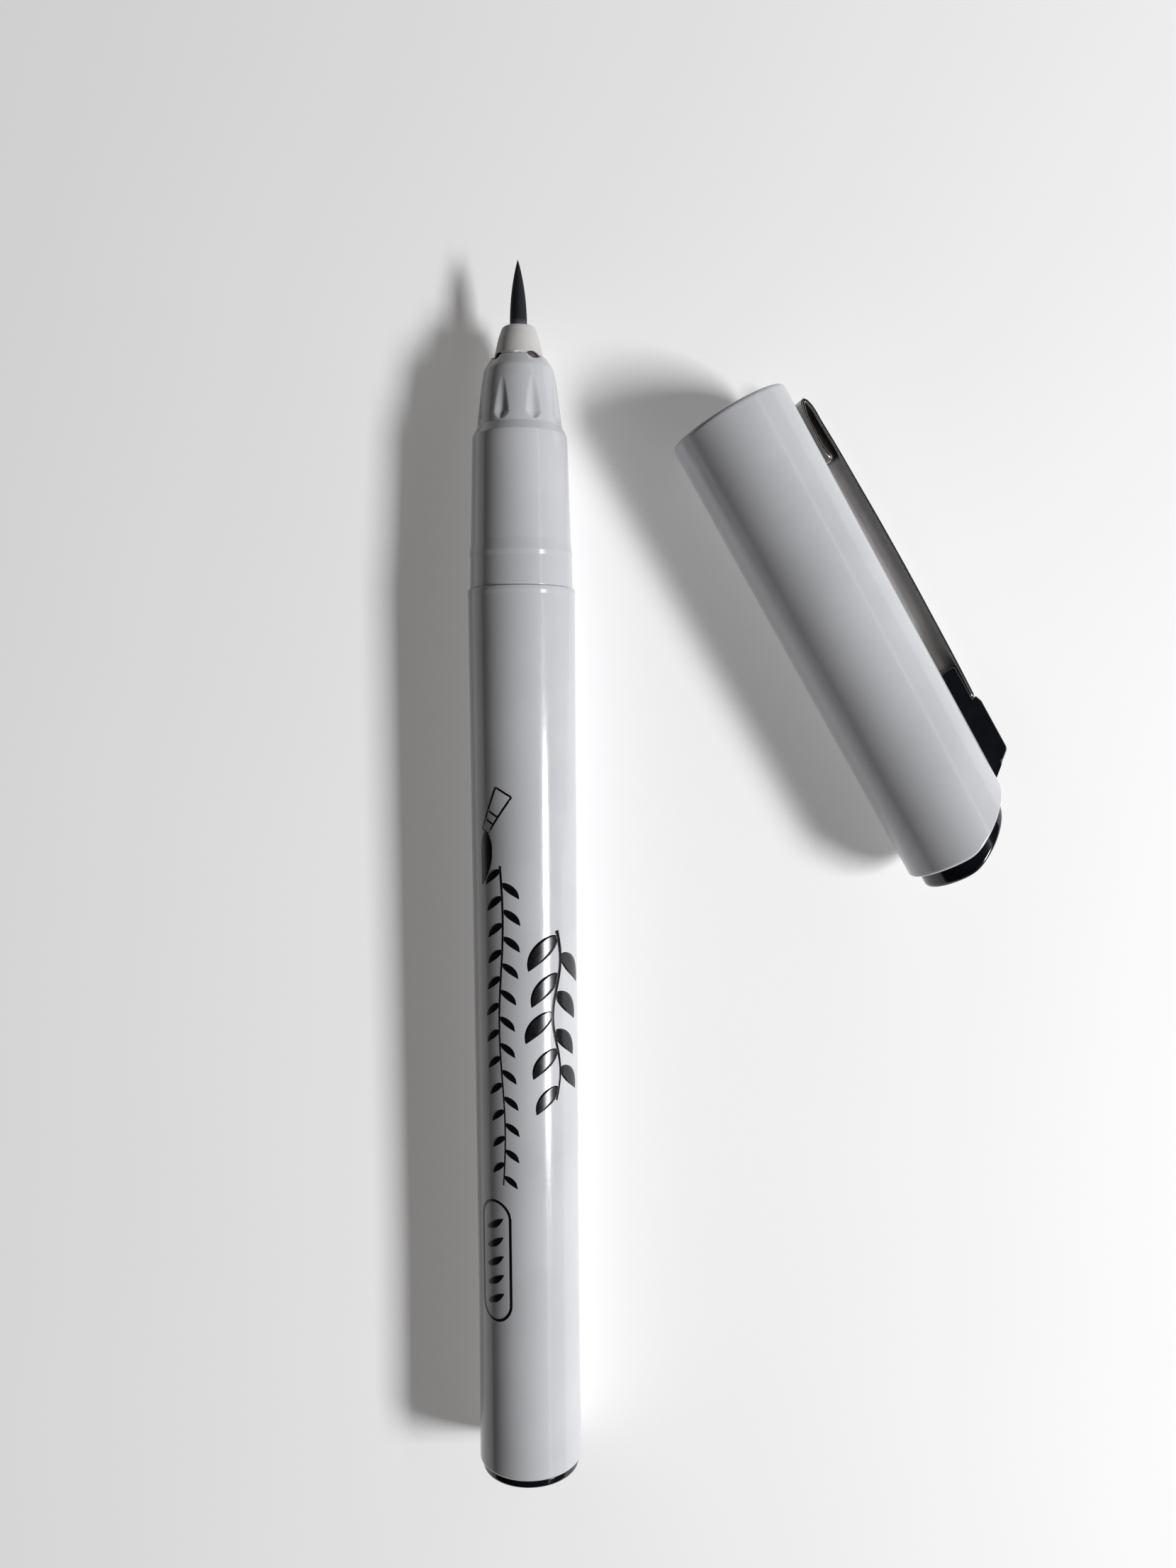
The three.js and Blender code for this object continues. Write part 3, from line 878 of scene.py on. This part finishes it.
def smoothCurve(points, steps):
    # an even walk along a curve through the points
    curve = bpy.data.curves.new("walk", "CURVE")
    spline = curve.splines.new("BEZIER")
    spline.bezier_points.add(len(points) - 1)
    for knot, (x, y) in zip(spline.bezier_points, points):
        knot.co = (x, y, 0)
        knot.handle_left_type = knot.handle_right_type = "AUTO"
    curve.resolution_u = 24
    carrier = bpy.data.objects.new("walk", curve)
    dense = [v.co.copy() for v in carrier.to_mesh().vertices]
    carrier.to_mesh_clear()
    bpy.data.objects.remove(carrier)
    bpy.data.curves.remove(curve)
    lengths = [0]
    for a, b in zip(dense, dense[1:]):
        lengths.append(lengths[-1] + (b - a).length)
    walk = []
    k = 0
    for i in range(steps + 1):
        target = lengths[-1] * i / steps
        while k < len(lengths) - 2 and lengths[k + 1] < target:
            k += 1
        share = (target - lengths[k]) / max(lengths[k + 1] - lengths[k], 1e-9)
        walk.append(dense[k].lerp(dense[k + 1], share))
    return walk


def makeClip():
    c = clip
    middle = c["face"] - c["thickness"] / 2
    walk = smoothCurve([(middle + out, -depth) for out, depth in c["leaf"] + c["tongue"]], 150)
    corner, side = c["corner"], c["thickness"] / 2
    rings = []
    for i, spot in enumerate(walk):
        ahead = walk[min(i + 1, len(walk) - 1)] - walk[max(i - 1, 0)]
        normal = Vector((-ahead.y, ahead.x, 0)).normalized()
        width = c["rootWidth"] + (c["tipWidth"] - c["rootWidth"]) * (1 + spot.y / c["pivot"])
        if -spot.y > c["pivot"] + 0.1:
            width = c["heldWidth"]  # the part inside the head
        fromEnd = (len(walk) - 1 - i) * 0.3
        if fromEnd < 1.0:
            width -= 1.0 - math.sqrt(max(0.0, 1 - (1 - fromEnd) ** 2))
        half = width / 2
        outline = []
        quarters = (side, half, 0), (-side, half, 90), (-side, -half, 180), (side, -half, 270)
        for cornerX, cornerZ, start in quarters:
            for k in range(4):
                angle = math.radians(start + 30 * k)
                along = cornerX - math.copysign(corner, cornerX) + corner * math.cos(angle)
                across = cornerZ - math.copysign(corner, cornerZ) + corner * math.sin(angle)
                outline.append(spot + normal * along + Vector((0, 0, across)))
        rings.append(outline)
    mesh = lofted("steelClip", rings)
    return finished("steelClip", mesh, capPlace, platedSteel, "clip", ["clip"])


makeCapTube()
makeEndPlug()
makeClipMount()
makeClip()
print("cap shaped")


# print on the barrel: an ornament of brush strokes, no lettering

# places are (round the barrel, along it), mm
ink = dict(
    raised=0.012, sunk=0.015, outline=0.27, handleLine=0.2,
    handleEnd=(-1.75, 67.7), handleNeck=(-3.95, 63.9), handleHalf=(0.95, 0.45), bands=(0.55, 0.75),
    tuftTip=(-4.5, 58.6), tuftBow=0.4, tuftWidth=1.5,
    pill=(-5.1, -1.55, 27.7, 15.8),  # left, right, front, back
    dabs=5, dabInset=(0.75, 1.3), dabLean=0.6, dabBow=0.14, dabWidth=0.75,
)
# stem from and to, its sway, the leaves' number, length, width and lean in degrees, the stem's width
broadSpray = dict(
    stem=((3.5, 54.2), (3.3, 37.6)), sway=0.45, leaves=9, length=4.5, width=1.75, lean=44, line=0.42,
)
fineSpray = dict(
    stem=((-2.2, 60.6), (-2.2, 29.4)), sway=0.25, leaves=24, length=2.35, width=0.78, lean=50, line=0.24,
)


def onBarrel(around, along, height):
    radius = barrelRadiusAt(along) + height
    angle = around / barrelRadiusAt(along)
    return Vector((radius * math.sin(angle), along, radius * math.cos(angle)))


def strokeRings(path, widths, across=6):
    # a flat band wrapped on the barrel; path is (around, along) in mm
    rings = []
    for i, (around, along) in enumerate(path):
        near, far = path[max(i - 1, 0)], path[min(i + 1, len(path) - 1)]
        way = Vector((far[0] - near[0], far[1] - near[1])).normalized()
        side = Vector((-way.y, way.x))
        half = max(widths[i], 0.03) / 2
        spread = [(around + side.x * half * s, along + side.y * half * s)
                  for s in [2 * k / across - 1 for k in range(across + 1)]]
        top = [onBarrel(a, b, ink["raised"]) for a, b in spread]
        bottom = [onBarrel(a, b, -ink["sunk"]) for a, b in reversed(spread)]
        rings.append(top + bottom)
    return rings


def taperedStroke(start, end, bow, broad, steps=40):
    path, widths = [], []
    for i in range(steps + 1):
        t = i / steps
        path.append((start[0] + (end[0] - start[0]) * t + bow * math.sin(math.pi * t),
                     start[1] + (end[1] - start[1]) * t))
        widths.append(broad * math.sin(math.pi * t ** 0.7) ** 0.8)
    return path, widths


def spray(stem, sway, leaves, length, width, lean, line):
    # a swaying stem with leaves on alternate sides, all as brush strokes
    (u0, s0), (u1, s1) = stem

    def stemAt(t):
        return u0 + (u1 - u0) * t + sway * math.sin(3 * math.pi * t), s0 + (s1 - s0) * t

    steps = 90
    path = [stemAt(i / steps) for i in range(steps + 1)]
    strokes = [(path, [line * (1 - 0.5 * i / steps) for i in range(steps + 1)])]
    for k in range(leaves):
        side = 1 if k % 2 else -1
        foot = stemAt((k + 0.3) / leaves)
        reach = length * (1 - 0.25 * k / leaves)
        turned = math.radians(lean)
        tip = (foot[0] + side * reach * math.sin(turned), foot[1] - reach * math.cos(turned))
        strokes.append(taperedStroke(foot, tip, side * 0.12 * reach, width * (1 - 0.2 * k / leaves), 24))
    return strokes


def straightStroke(start, end, width):
    steps = 6
    path = [tuple(a + (b - a) * i / steps for a, b in zip(start, end)) for i in range(steps + 1)]
    return path, [width] * (steps + 1)


def brushDrawing():
    # an outlined handle with two bands on its ferrule, and a filled tuft
    end, neck, line = Vector(ink["handleEnd"]), Vector(ink["handleNeck"]), ink["handleLine"]
    way = (neck - end).normalized()
    side = Vector((-way.y, way.x))

    def across(t):
        wide, narrow = ink["handleHalf"]
        spot, half = end.lerp(neck, t), wide + (narrow - wide) * t
        return spot + side * half, spot - side * half

    (a, b), (c, d) = across(0), across(1)
    edges = [(a, b), (a, c), (b, d), (c, d)] + [across(t) for t in ink["bands"]]
    strokes = [straightStroke(p, q, line) for p, q in edges]
    strokes.append(taperedStroke(neck, ink["tuftTip"], ink["tuftBow"], ink["tuftWidth"]))
    return strokes


def pillOutline():
    low, high, near, far = ink["pill"]
    radius, middle = (high - low) / 2, (high + low) / 2
    path = []
    for i in range(25):
        angle = math.pi * i / 24
        path.append((middle + radius * math.cos(angle), near - radius + radius * math.sin(angle)))
    for i in range(25):
        angle = math.pi + math.pi * i / 24
        path.append((middle + radius * math.cos(angle), far + radius + radius * math.sin(angle)))
    return path + path[:2]


def dabRow():
    # a row of slanted dabs inside the pill
    low, high, near, far = ink["pill"]
    (aside, margin), lean = ink["dabInset"], ink["dabLean"]
    step = (near - far - 2 * margin) / ink["dabs"]
    strokes = []
    for k in range(ink["dabs"]):
        along = near - margin - step * (k + 0.5)
        start, end = (low + aside, along - lean), (high - aside, along + lean)
        strokes.append(taperedStroke(start, end, ink["dabBow"], ink["dabWidth"], 20))
    return strokes


def makePrint():
    outline = pillOutline()
    pieces = {
        "printBrush": brushDrawing(),
        "printBroadSpray": spray(**broadSpray),
        "printFineSpray": spray(**fineSpray),
        "printPill": [(outline, [ink["outline"]] * len(outline))],
        "printDabs": dabRow(),
    }
    for name, strokes in pieces.items():
        build = bmesh.new()
        for path, widths in strokes:
            part = lofted(name, strokeRings(path, widths))
            build.from_mesh(part)
            bpy.data.meshes.remove(part)
        mesh = bpy.data.meshes.new(name)
        build.to_mesh(mesh)
        build.free()
        finished(name, mesh, penPlace, printInk, "pen")


makePrint()
print("print laid on the barrel")


# inner pieces keep their CAD shape

inside = dict(
    nib_stem=inkedFibre, ink_reservoir=inkedFibre, reservoir_film=filmPlastic, inner_cap=sealPlastic,
)
for name, look in inside.items():
    node = frame["nodes"][name]
    node.data.materials.clear()
    node.data.materials.append(look)
print("inner pieces dressed")


# table

def makeTable():
    mesh = bpy.data.meshes.new("tableTop")
    half = laminate["half"]
    corners = [(half * x, half * y, 0) for x, y in ((-1, -1), (1, -1), (1, 1), (-1, 1))]
    mesh.from_pydata(corners, [], [(0, 1, 2, 3)])
    mesh.materials.append(tableTop)
    table = bpy.data.objects.new("tableTop", mesh)
    bpy.context.scene.collection.objects.link(table)


makeTable()
